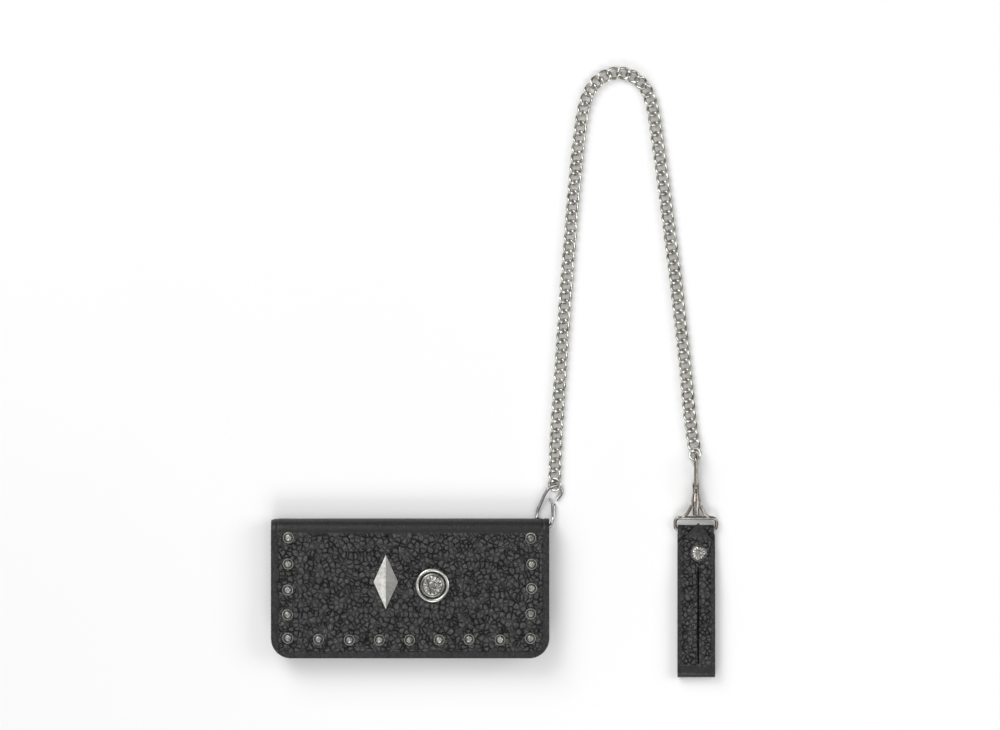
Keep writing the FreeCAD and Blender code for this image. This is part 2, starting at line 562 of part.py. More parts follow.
def loop_half(s):
    rb, rt = 1.6, 3.2
    k = 1 - math.sqrt(0.5)
    L = LOOP_HALF
    e = [Part.makeLine(on_loop(0, 0), on_loop(s * (L - rb), 0)),
         Part.Arc(on_loop(s * (L - rb), 0), on_loop(s * (L - rb * k), rb * k), on_loop(s * L, rb)).toShape(),
         Part.makeLine(on_loop(s * L, rb), on_loop(s * L, H - rt)),
         Part.Arc(on_loop(s * L, H - rt), on_loop(s * (L - rt * k), H - rt * k), on_loop(s * (L - rt), H)).toShape(),
         Part.makeLine(on_loop(s * (L - rt), H), on_loop(0, H))]
    return Part.Wire(e).makePipeShell([Part.Wire([Part.makeCircle(LOOP_WIRE_R, on_loop(0, 0), V(s, 0, 0))])], True, False)


arms = []
for s in (-1, 1):
    arms.append(rod([(SX + s * 3.3, 57.9, SZ), (SX + s * 4.5, 54.6, 5.75), (SX + s * 6.6, 51.2, 5.0), (SX + s * 10.4, LOOP_TOP_Y + 0.1, 4.35)],
                    1.1, (0, -1, -0.05), (s, -0.15, -0.05)))
save("swivel_loop", neck_ring.fuse([loop_half(-1), loop_half(1)] + arms).removeSplitter())

# ---------------------------------------------------------------- belt strap
t = STRAP_T
fc = STRAP_BOTTOM_Y + STRAP_FOLD_R
rm = STRAP_FOLD_R - t / 2
by, bz = LOOP_BAR_Y, LOOP_BAR_Z
wr = LOOP_WIRE_R + 0.15 + t / 2
back_path = arc_pts(fc, STRAP_FOLD_R, rm, 183.0, 270, 8)
back_path += [(by - 6.0, t / 2)] + arc_pts(by, bz, wr, 272, 468, 16)
ex = back_path[-1]
back_path += smooth((ex[0], ex[1]), (31.0, t + 0.05 + t / 2), 7)[1:] + [(31.0, t + 0.05 + t / 2), (13.5, t + 0.05 + t / 2)]
strap_back = ribbon(back_path, t, STRAP_X - STRAP_HALF, STRAP_X + STRAP_HALF)
# narrower where it goes round the loop's bar
for s in (-1, 1):
    x0, x1 = sorted((SX + s * 12.7, SX + s * 15))
    strap_back = strap_back.cut(box(x0, x1, 38.4, 46, -1, 9))
post_hole = Part.makeCylinder(1.35, 4, V(SNAP_X, SNAP_Y, -0.5))
post_recess = Part.makeCylinder(4.6, 0.55, V(SNAP_X, SNAP_Y, -0.05))
strap_back = strap_back.cut(post_hole).cut(post_recess)
save("strap_back", strap_back)

flap_path = arc_pts(fc, STRAP_FOLD_R, rm, 177.0, 90, 8)
snap_mid = 2 * t + 0.05 + 1.35 + t / 2
flap_path += [(0.0, flap_path[-1][1])] + smooth((0.0, flap_path[-1][1]), (17.5, snap_mid), 6) + [(17.5, snap_mid), (30.5, snap_mid)]
flap_top = bz + wr + t / 2 + 0.2 + t / 2
flap_path += smooth((30.5, snap_mid), (36.8, flap_top), 4) + [(36.8, flap_top), (46.0, flap_top)]
strap_flap = ribbon(flap_path, t, STRAP_X - STRAP_HALF, STRAP_X + STRAP_HALF)
FX = 201.3
outline = [V(STRAP_X - STRAP_HALF - 1, STRAP_BOTTOM_Y - 5, -2), V(STRAP_X + STRAP_HALF + 1, STRAP_BOTTOM_Y - 5, -2),
           V(STRAP_X + STRAP_HALF + 1, 31.0, -2), V(STRAP_X + STRAP_HALF - 0.2, 32.4, -2), V(FX, 45.5, -2),
           V(STRAP_X - STRAP_HALF + 0.2, 31.4, -2), V(STRAP_X - STRAP_HALF - 1, 30.0, -2)]
strap_flap = strap_flap.common(Part.Face(Part.makePolygon(outline + [outline[0]])).extrude(V(0, 0, 30)))
strap_flap = strap_flap.cut(Part.makeCylinder(1.6, 6, V(SNAP_X, SNAP_Y, 3)))
save("strap_flap", strap_flap)

# press stud: domed cap and socket in the flap, ball stud and post in the strap
cap_z = snap_mid + t / 2
cap_pts = [(0.0, 0.0), (CAP_R, 0.0), (CAP_R, 0.35)]
for i in range(1, 8):
    a = math.radians(90.0 * i / 7)
    cap_pts.append((CAP_R * math.cos(a) if i < 7 else 0.0, 0.35 + 2.1 * math.sin(a)))
cap = turned(cap_pts).fuse(Part.makeCylinder(1.55, t, V(0, 0, -t)))
save("snap_cap", moved(cap.removeSplitter(), SNAP_X, SNAP_Y, cap_z))
sock = turned([(2.45, -1.25), (4.3, -1.25), (4.6, -0.9), (4.6, 0.0), (0.0, 0.0), (0.0, -0.12), (2.45, -0.12)])
save("snap_socket", moved(sock, SNAP_X, SNAP_Y, snap_mid - t / 2))
stud = turned([(1.3, 0.0), (3.2, 0.0), (3.2, 0.08), (1.75, 0.08), (1.75, 0.35), (2.15, 0.6), (2.15, 0.85), (1.8, 1.1), (1.3, 1.1)])
save("snap_stud", moved(stud, SNAP_X, SNAP_Y, 2 * t + 0.05))
pst = Part.makeCylinder(1.28, 2 * t + 0.05 + 1.0 - 0.05, V(0, 0, 0.05)).fuse(Part.makeCylinder(4.4, 0.42, V(0, 0, 0.05)))
save("snap_post", moved(pst.removeSplitter(), SNAP_X, SNAP_Y, 0))
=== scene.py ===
import math

import bmesh
import bpy
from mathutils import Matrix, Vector, noise


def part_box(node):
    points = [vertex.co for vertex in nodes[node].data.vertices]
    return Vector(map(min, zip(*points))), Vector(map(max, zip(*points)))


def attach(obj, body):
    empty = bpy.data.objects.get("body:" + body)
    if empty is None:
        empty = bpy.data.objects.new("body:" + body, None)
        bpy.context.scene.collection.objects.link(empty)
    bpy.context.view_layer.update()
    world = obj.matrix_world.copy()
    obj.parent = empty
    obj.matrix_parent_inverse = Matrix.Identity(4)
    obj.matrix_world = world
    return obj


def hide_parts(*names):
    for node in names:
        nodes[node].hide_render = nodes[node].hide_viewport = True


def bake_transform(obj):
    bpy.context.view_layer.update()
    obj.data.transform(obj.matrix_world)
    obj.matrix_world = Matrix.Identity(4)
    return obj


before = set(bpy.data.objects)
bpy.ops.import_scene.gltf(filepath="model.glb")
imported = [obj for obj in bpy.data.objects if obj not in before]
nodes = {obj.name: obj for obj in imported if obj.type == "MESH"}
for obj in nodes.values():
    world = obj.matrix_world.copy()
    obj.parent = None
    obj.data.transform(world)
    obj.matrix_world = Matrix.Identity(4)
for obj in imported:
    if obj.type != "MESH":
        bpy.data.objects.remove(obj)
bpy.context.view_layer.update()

MM = 0.001


# ------------------------------------------------------------------ materials
def new_mat(name):
    m = bpy.data.materials.new(name)
    m.use_nodes = True
    nt = m.node_tree
    b = nt.nodes["Principled BSDF"]
    return m, nt, b


def link(nt, a, b):
    nt.links.new(a, b)


def coords(nt, uv):
    if uv:
        n = nt.nodes.new("ShaderNodeUVMap")
        n.uv_map = "flat"
        return n.outputs[0]
    n = nt.nodes.new("ShaderNodeTexCoord")
    return n.outputs["Object"]


def tex_noise(nt, vec, scale, detail=4.0, rough=0.55):
    n = nt.nodes.new("ShaderNodeTexNoise")
    n.inputs["Scale"].default_value = scale
    n.inputs["Detail"].default_value = detail
    n.inputs["Roughness"].default_value = rough
    link(nt, vec, n.inputs["Vector"])
    return n.outputs["Fac"]


def ramp(nt, fac, stops):
    n = nt.nodes.new("ShaderNodeValToRGB")
    e = n.color_ramp.elements
    while len(e) < len(stops):
        e.new(0.5)
    for i, (p, c) in enumerate(stops):
        e[i].position = p
        e[i].color = (c[0], c[1], c[2], 1.0) if hasattr(c, "__len__") else (c, c, c, 1.0)
    link(nt, fac, n.inputs["Fac"])
    return n.outputs["Color"]


def maths(nt, op, a, b=None, clamp=False):
    n = nt.nodes.new("ShaderNodeMath")
    n.operation = op
    n.use_clamp = clamp
    for i, v in enumerate((a, b)):
        if v is None:
            continue
        if isinstance(v, (int, float)):
            n.inputs[i].default_value = v
        else:
            link(nt, v, n.inputs[i])
    return n.outputs[0]


def bump(nt, height, strength, dist, normal=None):
    n = nt.nodes.new("ShaderNodeBump")
    n.inputs["Strength"].default_value = strength
    n.inputs["Distance"].default_value = dist
    link(nt, height, n.inputs["Height"])
    if normal is not None:
        link(nt, normal, n.inputs["Normal"])
    return n.outputs["Normal"]


def ease(nt, val, a, b, lo, hi):
    n = nt.nodes.new("ShaderNodeMapRange")
    n.interpolation_type = "SMOOTHSTEP"
    n.inputs["From Min"].default_value = a
    n.inputs["From Max"].default_value = b
    n.inputs["To Min"].default_value = lo
    n.inputs["To Max"].default_value = hi
    link(nt, val, n.inputs["Value"])
    return n.outputs["Result"]


def pebbled(name, cell=2.5, depth=0.00035, uv=True, base=0.010, high=0.030, rough=(0.36, 0.56), masks=(), lines=()):
    """Tumbled black leather: rounded pebbles of uneven size parted by creases, with fine pores."""
    m, nt, b = new_mat(name)
    v = coords(nt, uv)
    # uneven the cells a little by pushing the coordinates about
    nz = nt.nodes.new("ShaderNodeTexNoise")
    nz.inputs["Scale"].default_value = 260.0
    nz.inputs["Detail"].default_value = 2.0
    link(nt, v, nz.inputs["Vector"])
    mix = nt.nodes.new("ShaderNodeVectorMath")
    mix.operation = "MULTIPLY_ADD"
    link(nt, nz.outputs["Color"], mix.inputs[0])
    mix.inputs[1].default_value = (0.0016, 0.0016, 0.0016)
    link(nt, v, mix.inputs[2])
    vor = nt.nodes.new("ShaderNodeTexVoronoi")
    vor.feature = "DISTANCE_TO_EDGE"
    vor.inputs["Scale"].default_value = 1000.0 / cell
    vor.inputs["Randomness"].default_value = 0.95
    link(nt, mix.outputs[0], vor.inputs["Vector"])
    vor2 = nt.nodes.new("ShaderNodeTexVoronoi")
    vor2.feature = "DISTANCE_TO_EDGE"
    vor2.inputs["Scale"].default_value = 1000.0 / (cell * 0.42)
    link(nt, mix.outputs[0], vor2.inputs["Vector"])
    big = ramp(nt, vor.outputs["Distance"], [(0.0, 0.0), (0.07, 0.38), (0.22, 0.76), (0.50, 1.0)])
    small = ramp(nt, vor2.outputs["Distance"], [(0.0, 0.0), (0.25, 1.0)])
    pores = tex_noise(nt, v, 2600.0, 3.0, 0.6)
    # some creases are shallower than others
    patchy = ease(nt, tex_noise(nt, v, 150.0, 2.0, 0.5), 0.36, 0.60, 0.55, 1.0)
    big = maths(nt, "SUBTRACT", 1.0, maths(nt, "MULTIPLY", maths(nt, "SUBTRACT", 1.0, big), patchy))
    h = maths(nt, "ADD", maths(nt, "MULTIPLY", big, 0.8), maths(nt, "MULTIPLY", small, 0.16))
    h = maths(nt, "ADD", h, maths(nt, "MULTIPLY", pores, 0.10))
    # the grain is pressed flatter at the folds and along the stitched border
    keep = None
    if masks:
        sep = nt.nodes.new("ShaderNodeSeparateXYZ")
        link(nt, v, sep.inputs[0])
        for axis, centre, a, z, lo, hi in masks:
            dist = maths(nt, "ABSOLUTE", maths(nt, "SUBTRACT", sep.outputs[axis], centre))
            k = ease(nt, dist, a, z, lo, hi)
            keep = k if keep is None else maths(nt, "MULTIPLY", keep, k)
        h = maths(nt, "MULTIPLY", h, keep)
        big = maths(nt, "ADD", maths(nt, "MULTIPLY", big, keep), maths(nt, "MULTIPLY", maths(nt, "SUBTRACT", 1.0, keep), 0.42))
    cut = None
    for axis, centre, half, other, lo, hi in lines:
        sp = nt.nodes.new("ShaderNodeSeparateXYZ")
        link(nt, v, sp.inputs[0])
        near = ease(nt, maths(nt, "ABSOLUTE", maths(nt, "SUBTRACT", sp.outputs[axis], centre)), half * 0.3, half, 1.0, 0.0)
        span = maths(nt, "MULTIPLY", ease(nt, sp.outputs[other], lo, lo + 0.002, 0.0, 1.0),
                     ease(nt, sp.outputs[other], hi - 0.002, hi, 1.0, 0.0))
        cut = maths(nt, "MULTIPLY", near, span)
        h = maths(nt, "SUBTRACT", h, cut)
        # the line is also coloured darker, like a crease: painted shade in the groove
        big = maths(nt, "MULTIPLY", big, maths(nt, "SUBTRACT", 1.0, cut))
    link(nt, bump(nt, h, 1.0, depth), b.inputs["Normal"])
    tone = tex_noise(nt, v, 42.0, 5.0, 0.6)
    # colour runs from base in the creases up to high on the pebble tops: painted shade in the creases
    c1 = maths(nt, "MULTIPLY", big, high - base)
    c2 = maths(nt, "ADD", c1, base)
    c3 = maths(nt, "MULTIPLY", c2, maths(nt, "ADD", maths(nt, "MULTIPLY", tone, 0.7), 0.65))
    col = nt.nodes.new("ShaderNodeCombineColor")
    link(nt, c3, col.inputs[0])
    link(nt, c3, col.inputs[1])
    link(nt, maths(nt, "MULTIPLY", c3, 1.03), col.inputs[2])
    link(nt, col.outputs[0], b.inputs["Base Color"])
    r = maths(nt, "ADD", maths(nt, "MULTIPLY", big, rough[0] - rough[1]), rough[1])
    r = maths(nt, "ADD", r, maths(nt, "MULTIPLY", maths(nt, "SUBTRACT", tone, 0.5), 0.16), True)
    link(nt, r, b.inputs["Roughness"])
    # little light comes back out of the creases
    sheen = maths(nt, "ADD", maths(nt, "MULTIPLY", big, 0.80), 0.10)
    link(nt, sheen, b.inputs["Specular IOR Level"])
    return m


def smooth_leather(name, base=(0.018, 0.018, 0.019), uv=False, grain=900.0, depth=0.00008, rough=0.5):
    m, nt, b = new_mat(name)
    v = coords(nt, uv)
    f = tex_noise(nt, v, grain, 4.0, 0.6)
    t = tex_noise(nt, v, 60.0, 5.0, 0.6)
    vor = nt.nodes.new("ShaderNodeTexVoronoi")
    vor.inputs["Scale"].default_value = grain * 0.9
    link(nt, v, vor.inputs["Vector"])
    h = maths(nt, "ADD", f, maths(nt, "MULTIPLY", vor.outputs["Distance"], 0.8))
    link(nt, bump(nt, h, 0.8, depth), b.inputs["Normal"])
    lo = tuple(c * 0.65 for c in base)
    hi = tuple(c * 1.45 for c in base)
    link(nt, ramp(nt, t, [(0.3, lo), (0.7, hi)]), b.inputs["Base Color"])
    link(nt, ramp(nt, t, [(0.3, rough + 0.08), (0.7, rough - 0.08)]), b.inputs["Roughness"])
    return m


def cloth(name, base=(0.02, 0.02, 0.021), pitch=0.7):
    m, nt, b = new_mat(name)
    v = coords(nt, False)
    w1 = nt.nodes.new("ShaderNodeTexWave")
    w1.bands_direction = "X"
    w1.inputs["Scale"].default_value = 1000.0 / pitch / 3.0
    w1.inputs["Distortion"].default_value = 0.6
    link(nt, v, w1.inputs["Vector"])
    w2 = nt.nodes.new("ShaderNodeTexWave")
    w2.bands_direction = "Y"
    w2.inputs["Scale"].default_value = 1000.0 / pitch / 3.0
    w2.inputs["Distortion"].default_value = 0.6
    link(nt, v, w2.inputs["Vector"])
    h = maths(nt, "MULTIPLY", w1.outputs["Fac"], w2.outputs["Fac"])
    link(nt, bump(nt, h, 0.8, 0.00012), b.inputs["Normal"])
    # the weave's troughs are coloured darker than its crests: painted shade in the weave
    link(nt, ramp(nt, h, [(0.0, tuple(c * 0.5 for c in base)), (1.0, tuple(c * 1.8 for c in base))]), b.inputs["Base Color"])
    link(nt, ramp(nt, tex_noise(nt, v, 300.0), [(0.3, 0.75), (0.7, 0.9)]), b.inputs["Roughness"])
    b.inputs["Sheen Weight"].default_value = 0.25
    return m


def metal(name, hi=(0.78, 0.77, 0.74), lo=(0.42, 0.41, 0.38), rough=(0.12, 0.30), patina_and_shade=0.5, scratch=1.0, dark=(0.05, 0.047, 0.04)):
    """Plated metal: fine scratches and cloudy polish, darkened in the hollows: real patina on the aged silver, painted
    shade where parts overlap, as between the chain's links.
    """
    m, nt, b = new_mat(name)
    v = coords(nt, False)
    cloud = tex_noise(nt, v, 220.0, 6.0, 0.65)
    fine = tex_noise(nt, v, 2400.0, 3.0, 0.7)
    geo = nt.nodes.new("ShaderNodeNewGeometry")
    # concave spots take the dark colour: patina on the aged silver, painted shade in the hollows elsewhere, as between
    # the chain's links
    pt = ramp(nt, geo.outputs["Pointiness"], [(0.44, 0.0), (0.51, 1.0)])
    out_of_hollows = maths(nt, "MULTIPLY", pt, maths(nt, "ADD", maths(nt, "MULTIPLY", cloud, 0.5), 0.7), True)
    c1 = nt.nodes.new("ShaderNodeMix")
    c1.data_type = "RGBA"
    c1.inputs["A"].default_value = (lo[0], lo[1], lo[2], 1)
    c1.inputs["B"].default_value = (hi[0], hi[1], hi[2], 1)
    link(nt, ramp(nt, cloud, [(0.3, 0.0), (0.62, 1.0)]), c1.inputs["Factor"])
    c2 = nt.nodes.new("ShaderNodeMix")
    c2.data_type = "RGBA"
    c2.inputs["A"].default_value = (dark[0], dark[1], dark[2], 1)
    link(nt, c1.outputs["Result"], c2.inputs["B"])
    link(nt, maths(nt, "ADD", maths(nt, "MULTIPLY", out_of_hollows, patina_and_shade), 1.0 - patina_and_shade, True), c2.inputs["Factor"])
    link(nt, c2.outputs["Result"], b.inputs["Base Color"])
    link(nt, ramp(nt, cloud, [(0.3, rough[1]), (0.7, rough[0])]), b.inputs["Roughness"])
    link(nt, bump(nt, maths(nt, "ADD", fine, maths(nt, "MULTIPLY", cloud, 0.6)), 0.35 * scratch, 0.00002), b.inputs["Normal"])
    b.inputs["Metallic"].default_value = 1.0
    return m


def thread(name):
    m, nt, b = new_mat(name)
    v = coords(nt, False)
    w = nt.nodes.new("ShaderNodeTexWave")
    w.bands_direction = "DIAGONAL"
    w.inputs["Scale"].default_value = 900.0
    link(nt, v, w.inputs["Vector"])
    link(nt, bump(nt, w.outputs["Fac"], 0.7, 0.00008), b.inputs["Normal"])
    # the twist's grooves are coloured darker than its ridges: painted shade in the thread's grooves
    link(nt, ramp(nt, w.outputs["Fac"], [(0.0, 0.015), (1.0, 0.05)]), b.inputs["Base Color"])
    link(nt, ramp(nt, tex_noise(nt, v, 400.0), [(0.3, 0.55), (0.7, 0.72)]), b.inputs["Roughness"])
    return m


HALF = (2 * (39.65 + 48.65) + math.pi * 8.2) / 2 * 0.001
M_PEB = pebbled("leather_pebbled", cell=3.5, depth=0.0011, base=0.003, high=0.018, rough=(0.26, 0.55),
                masks=((1, HALF, 0.0130, 0.0160, 0.12, 1.0), (0, 0.0, 0.0905, 0.0940, 1.0, 0.35),
                       (1, HALF, HALF - 0.0065, HALF - 0.0030, 1.0, 0.35)))
M_STRAP = pebbled("leather_strap", cell=3.0, depth=0.0010, base=0.003, high=0.017, rough=(0.26, 0.55),
                  masks=((0, 0.1999, 0.0098, 0.0112, 1.0, 0.45),))
M_FLAP = pebbled("leather_flap", cell=3.0, depth=0.0010, base=0.003, high=0.017, rough=(0.26, 0.55),
                 masks=((1, 0.0240, 0.0080, 0.0110, 0.2, 1.0), (0, 0.1999, 0.0098, 0.0112, 1.0, 0.45),
                        (1, 0.2400, 0.1130, 0.1190, 0.35, 1.0)),
                 lines=((0, 0.2012, 0.00075, 1, 0.034, 0.103),))
M_EDGE = smooth_leather("leather_edge", base=(0.006, 0.006, 0.006), rough=0.42)
M_LIN = smooth_leather("leather_lining", base=(0.010, 0.010, 0.0105), grain=1400.0, depth=0.00005, rough=0.55)
M_POCKET = smooth_leather("leather_pocket", base=(0.008, 0.008, 0.0085), grain=1000.0, depth=0.00008, rough=0.46)
M_TAPE = cloth("zip_weave")
# chain steel: the dark colour where the links overlap is painted shade
M_STEEL = metal("chain_steel", hi=(0.80, 0.79, 0.74), lo=(0.40, 0.39, 0.35), rough=(0.08, 0.20), patina_and_shade=0.85, dark=(0.03, 0.028, 0.022))
M_PLATE = metal("polished_plate", hi=(0.78, 0.77, 0.74), lo=(0.48, 0.47, 0.44), rough=(0.12, 0.26), patina_and_shade=0.0)
M_WIRE = metal("wire_steel", hi=(0.52, 0.52, 0.51), lo=(0.25, 0.25, 0.245), rough=(0.14, 0.28), patina_and_shade=0.45)
M_DARK = metal("smoky_nickel", hi=(0.40, 0.37, 0.33), lo=(0.17, 0.15, 0.125), rough=(0.12, 0.26), patina_and_shade=0.5)
M_SILVER = metal("aged_silver", hi=(0.74, 0.73, 0.69), lo=(0.34, 0.33, 0.30), rough=(0.2, 0.38), patina_and_shade=0.95, scratch=1.6, dark=(0.015, 0.014, 0.012))
M_ANTIQUE = metal("antique_silver", hi=(0.46, 0.455, 0.43), lo=(0.16, 0.155, 0.145), rough=(0.2, 0.4), patina_and_shade=1.0, scratch=1.6, dark=(0.008, 0.008, 0.007))
M_GROOVE = metal("blackened_silver", hi=(0.05, 0.05, 0.048), lo=(0.02, 0.02, 0.019), rough=(0.4, 0.55), patina_and_shade=0.9)
M_THREAD = thread("waxed_thread")


# ------------------------------------------------------------------ mesh helpers
def make_obj(name, verts, faces, mats, uvs=None, smooth=True):
    me = bpy.data.meshes.new(name)
    me.from_pydata([tuple(v) for v in verts], [], faces)
    if uvs is not None:
        layer = me.uv_layers.new(name="flat")
        for poly in me.polygons:
            for li in poly.loop_indices:
                layer.data[li].uv = uvs[me.loops[li].vertex_index]
    for m in mats:
        me.materials.append(m)
    if smooth:
        for p in me.polygons:
            p.use_smooth = True
    o = bpy.data.objects.new(name, me)
    bpy.context.scene.collection.objects.link(o)
    return o


def baked(o):
    """Applies the object's modifiers to its mesh."""
    bpy.context.view_layer.update()
    dg = bpy.context.evaluated_depsgraph_get()
    me = bpy.data.meshes.new_from_object(o.evaluated_get(dg), preserve_all_data_layers=True, depsgraph=dg)
    o.modifiers.clear()
    o.data = me
    return o


def sheet_solid(name, mid, normal, uv, nu, nv, thick, mats, edge_slot=1, bevel=0.0004):
    """A leather sheet: a grid of middle-surface points thickened both ways, its rim rounded."""
    verts, uvs = [], []
    top = {}
    bot = {}
    r = bevel
    # top layer: the middle surface pushed out by half the thickness; the rim is rounded by the bevel below
    for j in range(nv):
        for i in range(nu):
            p, n = mid(i, j), normal(i, j)
            d = 0.0
            top[i, j] = len(verts)
            verts.append(p + n * (thick / 2 - d))
            uvs.append(uv(i, j))
    for j in range(nv):
        for i in range(nu):
            p, n = mid(i, j), normal(i, j)
            bot[i, j] = len(verts)
            verts.append(p - n * (thick / 2))
            uvs.append(uv(i, j))
    faces, mi = [], []
    for j in range(nv - 1):
        for i in range(nu - 1):
            faces.append((top[i, j], top[i + 1, j], top[i + 1, j + 1], top[i, j + 1]))
            mi.append(0)
            faces.append((bot[i, j], bot[i, j + 1], bot[i + 1, j + 1], bot[i + 1, j]))
            mi.append(2 if len(mats) > 2 else 0)
    rim = [(i, 0) for i in range(nu)] + [(nu - 1, j) for j in range(1, nv)] + \
          [(i, nv - 1) for i in range(nu - 2, -1, -1)] + [(0, j) for j in range(nv - 2, 0, -1)]
    for a, b in zip(rim, rim[1:] + rim[:1]):
        faces.append((top[b], top[a], bot[a], bot[b]))
        mi.append(edge_slot)
    o = make_obj(name, verts, faces, mats, uvs)
    for p, k in zip(o.data.polygons, mi):
        p.material_index = k
    bm = bmesh.new()
    bm.from_mesh(o.data)
    bmesh.ops.recalc_face_normals(bm, faces=bm.faces)
    es = [e for e in bm.edges if len(e.link_faces) == 2 and
          {e.link_faces[0].material_index, e.link_faces[1].material_index} & {edge_slot} and
          e.link_faces[0].material_index != e.link_faces[1].material_index]
    bmesh.ops.bevel(bm, geom=es, offset=bevel, offset_type="OFFSET", segments=3, profile=0.6, affect="EDGES",
                    clamp_overlap=True, material=edge_slot)
    bm.to_mesh(o.data)
    bm.free()
    for p in o.data.polygons:
        p.use_smooth = True
    return o


def capsule_run(name, points, length, radius, pitch, mat, up, sink=0.0):
    """A row of stitches along a polyline of (position, up direction) samples."""
    verts, faces = [], []
    seg = [0.0]
    for a, b in zip(points, points[1:]):
        seg.append(seg[-1] + (b[0] - a[0]).length)
    total = seg[-1]
    n = int(total / pitch)
    K = 8

    def at(s):
        s = min(max(s, 0.0), total)
        for k in range(len(seg) - 1):
            if seg[k + 1] >= s:
                f = (s - seg[k]) / max(seg[k + 1] - seg[k], 1e-9)
                return points[k][0].lerp(points[k + 1][0], f), points[k][1].lerp(points[k + 1][1], f).normalized()
        return points[-1]

    for q in range(n):
        s0 = (q + 0.5) * total / n - length / 2
        rings = []
        for t, rr, lift in ((0.0, 0.15, -0.9), (0.08, 0.75, -0.35), (0.25, 1.0, 0.25), (0.5, 1.05, 0.45), (0.75, 1.0, 0.25),
                            (0.92, 0.75, -0.35), (1.0, 0.15, -0.9)):
            p, u = at(s0 + t * length)
            p2, _ = at(s0 + t * length + 1e-4)
            p1, _ = at(s0 + t * length - 1e-4)
            d = (p2 - p1).normalized()
            side = d.cross(u).normalized()
            c = p + u * (lift * radius - sink)
            ring = []
            for k in range(K):
                a = 2 * math.pi * k / K
                ring.append(len(verts))
                verts.append(c + (side * math.cos(a) + u * math.sin(a)) * radius * rr)
            rings.append(ring)
        for ra, rb in zip(rings, rings[1:]):
            for k in range(K):
                faces.append((ra[k], ra[(k + 1) % K], rb[(k + 1) % K], rb[k]))
        faces.append(tuple(reversed(rings[0])))
        faces.append(tuple(rings[-1]))
    o = make_obj(name, verts, faces, [mat])
    bm = bmesh.new()
    bm.from_mesh(o.data)
    bmesh.ops.recalc_face_normals(bm, faces=bm.faces)
    bm.to_mesh(o.data)
    bm.free()
    return o


def soft_copy(node, mat, body, bevel):
    """A leather piece cut to a CAD panel's outline, with rounded edges."""
    src = nodes[node]
    me = src.data.copy()
    me.materials.clear()
    me.materials.append(mat)
    o = bpy.data.objects.new(node + "_leather", me)
    bpy.context.scene.collection.objects.link(o)
    bm = bmesh.new()
    bm.from_mesh(me)
    bmesh.ops.remove_doubles(bm, verts=bm.verts, dist=1e-6)
    bmesh.ops.dissolve_limit(bm, angle_limit=math.radians(1.0), verts=bm.verts, edges=bm.edges)
    es = [e for e in bm.edges if len(e.link_faces) == 2 and e.calc_face_angle(0) > math.radians(50)]
    bmesh.ops.bevel(bm, geom=es, offset=bevel, segments=3, profile=0.6, affect="EDGES", clamp_overlap=True)
    bmesh.ops.recalc_face_normals(bm, faces=bm.faces)
    bmesh.ops.triangulate(bm, faces=[f for f in bm.faces if len(f.verts) > 4])
    bm.to_mesh(me)
    bm.free()
    for p in me.polygons:
        p.use_smooth = True
    try:
        me.set_sharp_from_angle(angle=math.radians(35))
    except Exception:
        pass
    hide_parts(node)
    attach(o, body)
    return o


# ------------------------------------------------------------------ the wallet's cover
L2, R, T = 97.0, 9.0, 1.6
Y0, YF, ZC = -48.65, 39.65, 9.0
RM = R - T / 2
ARC = math.pi * RM
FLAT = YF - Y0
TOTAL = 2 * FLAT + ARC


def section(s):
    """Middle surface of the cover s mm from the back's lower edge: (y, z), (ny, nz) outward."""
    if s < FLAT:
        return (Y0 + s, T / 2), (0.0, -1.0)
    if s < FLAT + ARC:
        a = (s - FLAT) / RM - math.pi / 2
        return (YF + RM * math.cos(a), ZC + RM * math.sin(a)), (math.cos(a), math.sin(a))
    d = s - FLAT - ARC
    return (YF - d, 2 * ZC - T / 2), (0.0, 1.0)


def corner_in(x):
    """How far the lower edge steps in at x because of the rounded corner."""
    rc = 14.0
    k = abs(x) - (L2 - rc)
    return 0.0 if k <= 0 else rc - math.sqrt(max(rc * rc - k * k, 0.0))


def groove(x, s):
    """Depth in mm of the sunken stitch line and of the pressed fold line."""
    t = min(s, TOTAL - s)
    d = 0.0
    inset = 4.2
    ax = abs(x)
    # distance to the inset outline
    rc = 14.0
    cx, cy = L2 - rc, rc
    if ax > cx and t < cy:
        dist = (rc - inset) - math.hypot(ax - cx, cy - t)
    else:
        dist = min(L2 - inset - ax, t - inset)
    d += 0.30 * math.exp(-(dist / 0.55) ** 2)
    # leather swells a little between the stitch line and the edge
    d -= 0.05 * math.exp(-((dist + 1.9) / 1.0) ** 2)
    # crease where the fold starts on the front
    f = TOTAL - s - FLAT
    d += 0.10 * math.exp(-((f + 1.6) / 1.1) ** 2)
    return d


def pinch(x, s):
    """The far end of the fold is drawn in a little."""
    f = (s - FLAT) / ARC
    if f < 0 or f > 1:
        return 0.0
    return 0.9 * math.sin(math.pi * f) * math.exp(-((x + 97.0) / 2.5) ** 2)


STEP = 0.9
xs = []
x = -L2
while x < L2 - 1e-6:
    xs.append(x)
    near = L2 - abs(x)
    x += 0.30 if near < 6.5 else STEP
xs.append(L2)
ss = []
s = 0.0
while s < TOTAL - 1e-6:
    ss.append(s)
    near = min(s, TOTAL - s)
    s += 0.30 if near < 6.5 else (0.6 if abs(s - TOTAL / 2) < ARC / 2 + 3 else STEP)
ss.append(TOTAL)
NU, NV = len(xs), len(ss)


def cover_s(i, j):
    x = xs[i]
    c = corner_in(x)
    s = ss[j]
    half = TOTAL / 2
    near = 16.0
    if s < near:
        return c + s * (near - c) / near
    if s > TOTAL - near:
        t = TOTAL - s
        return TOTAL - (c + t * (near - c) / near)
    return s


def cover_mid(i, j):
    x, s = xs[i], cover_s(i, j)
    (y, z), (ny, nz) = section(s)
    p = pinch(x, s)
    return Vector((x * MM, (y - ny * p) * MM, (z - nz * p) * MM))


